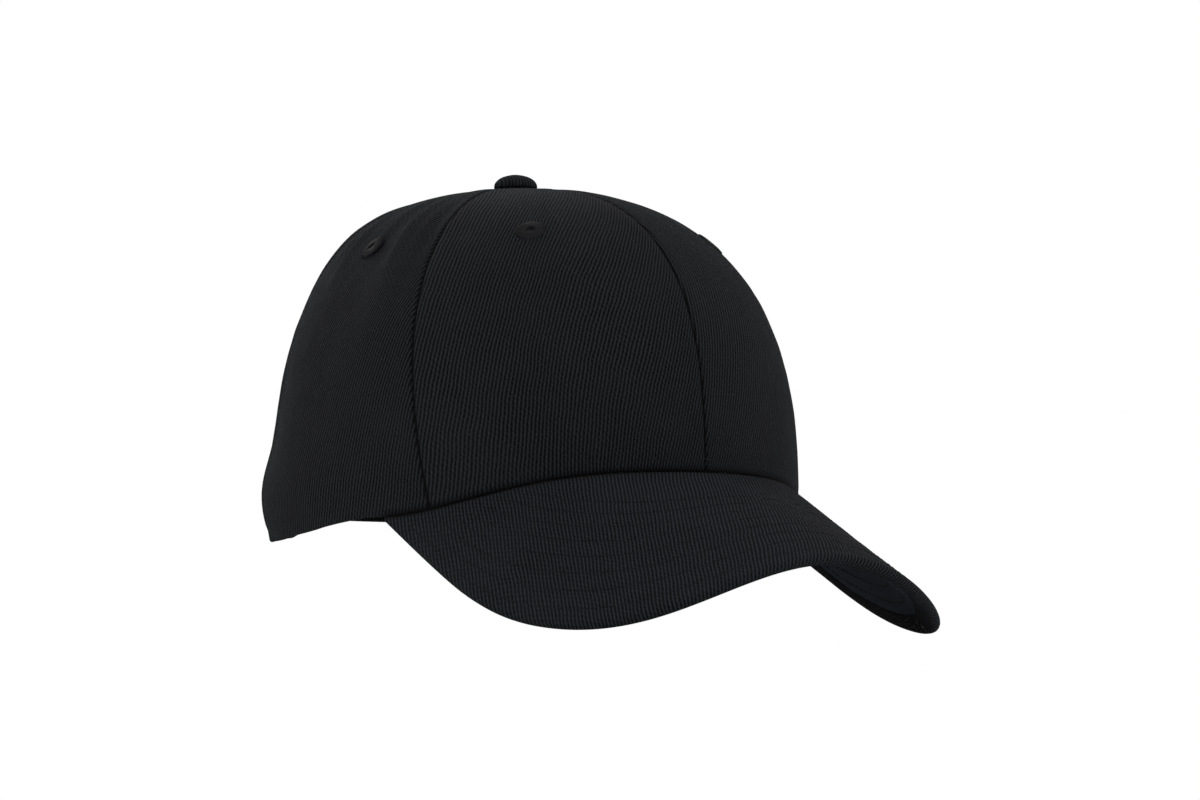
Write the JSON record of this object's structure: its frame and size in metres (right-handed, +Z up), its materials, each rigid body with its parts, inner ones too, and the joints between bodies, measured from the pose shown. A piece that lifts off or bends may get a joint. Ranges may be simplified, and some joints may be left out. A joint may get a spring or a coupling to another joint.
{
  "type": "baseball cap",
  "caption": "Black twill cap with a rounded panelled crown, a curved stiff brim, stitched eyelets, a top button, an inner sweatband and a hook-and-loop back strap.",
  "frame": {"origin": "centre of the head opening, in the plane of the cap's lower edge", "axes": "+Z up through the button, -Y towards the brim, -X towards the wearer's right"},
  "size_m": [0.17, 0.2687, 0.1587],
  "materials": {
    "crown_twill": "matte cotton twill, black",
    "brim_twill": "matte cotton twill, black, stitched in rows",
    "undervisor_twill": "smooth black lining twill",
    "button_twill": "matte cotton twill, black",
    "eyelet_thread": "satin-stitched polyester thread, black",
    "seam_tape": "flat woven tape, black",
    "sweatband_twill": "brushed cotton, black",
    "band_backing": "soft non-woven backing, black",
    "buckram_mesh": "stiffened open mesh, dark grey",
    "hook_tape": "hook tape, black nylon",
    "loop_tape": "loop tape, black nylon fleece",
    "brim_board": "flexible black polyethylene sheet",
    "button_steel": "plain plated steel"
  },
  "bodies": {
    "shell": {"front_panel_right": "crown_twill", "front_panel_left": "crown_twill", "side_panel_right": "crown_twill", "side_panel_left": "crown_twill", "back_panel_right": "crown_twill", "back_panel_left": "crown_twill", "front_buckram_right": "buckram_mesh", "front_buckram_left": "buckram_mesh", "front_eyelet_right": "eyelet_thread", "front_eyelet_left": "eyelet_thread", "side_eyelet_right": "eyelet_thread", "side_eyelet_left": "eyelet_thread", "back_eyelet_right": "eyelet_thread", "back_eyelet_left": "eyelet_thread", "seam_tape_front": "seam_tape", "seam_tape_front_right": "seam_tape", "seam_tape_front_left": "seam_tape", "seam_tape_back_right": "seam_tape", "seam_tape_back_left": "seam_tape", "seam_tape_back": "seam_tape", "button_cover": "button_twill", "button_shell": "button_steel", "button_back_plate": "button_steel", "brim_top_cover": "brim_twill", "brim_board": "brim_board", "brim_under_cover": "undervisor_twill", "sweatband": "sweatband_twill", "sweatband_backing": "band_backing", "back_arch_binding": "seam_tape", "inner_strap_tab": "crown_twill"},
    "strap_slider": {"outer_strap_tab": "crown_twill"},
    "outer_flap": {"outer_strap": "crown_twill", "hook_patch": "hook_tape"},
    "inner_flap": {"inner_strap": "crown_twill", "loop_patch": "loop_tape"}
  },
  "joints": [
    {"name": "closure_adjust", "type": "hinge", "parent": "shell", "child": "strap_slider", "pos_m": [0, 0.028, 0.014], "axis": [0, 0, 1], "range_deg": [0, 9.4]},
    {"name": "closure_peel", "type": "hinge", "parent": "strap_slider", "child": "outer_flap", "pos_m": [0.03629, 0.08722, 0.014], "axis": [0, 0, -1], "range_deg": [0, 95]},
    {"name": "inner_strap_swing", "type": "hinge", "parent": "shell", "child": "inner_flap", "pos_m": [-0.03783, 0.08625, 0.014], "axis": [0, 0, -1], "range_deg": [0, 60]}
  ]
}
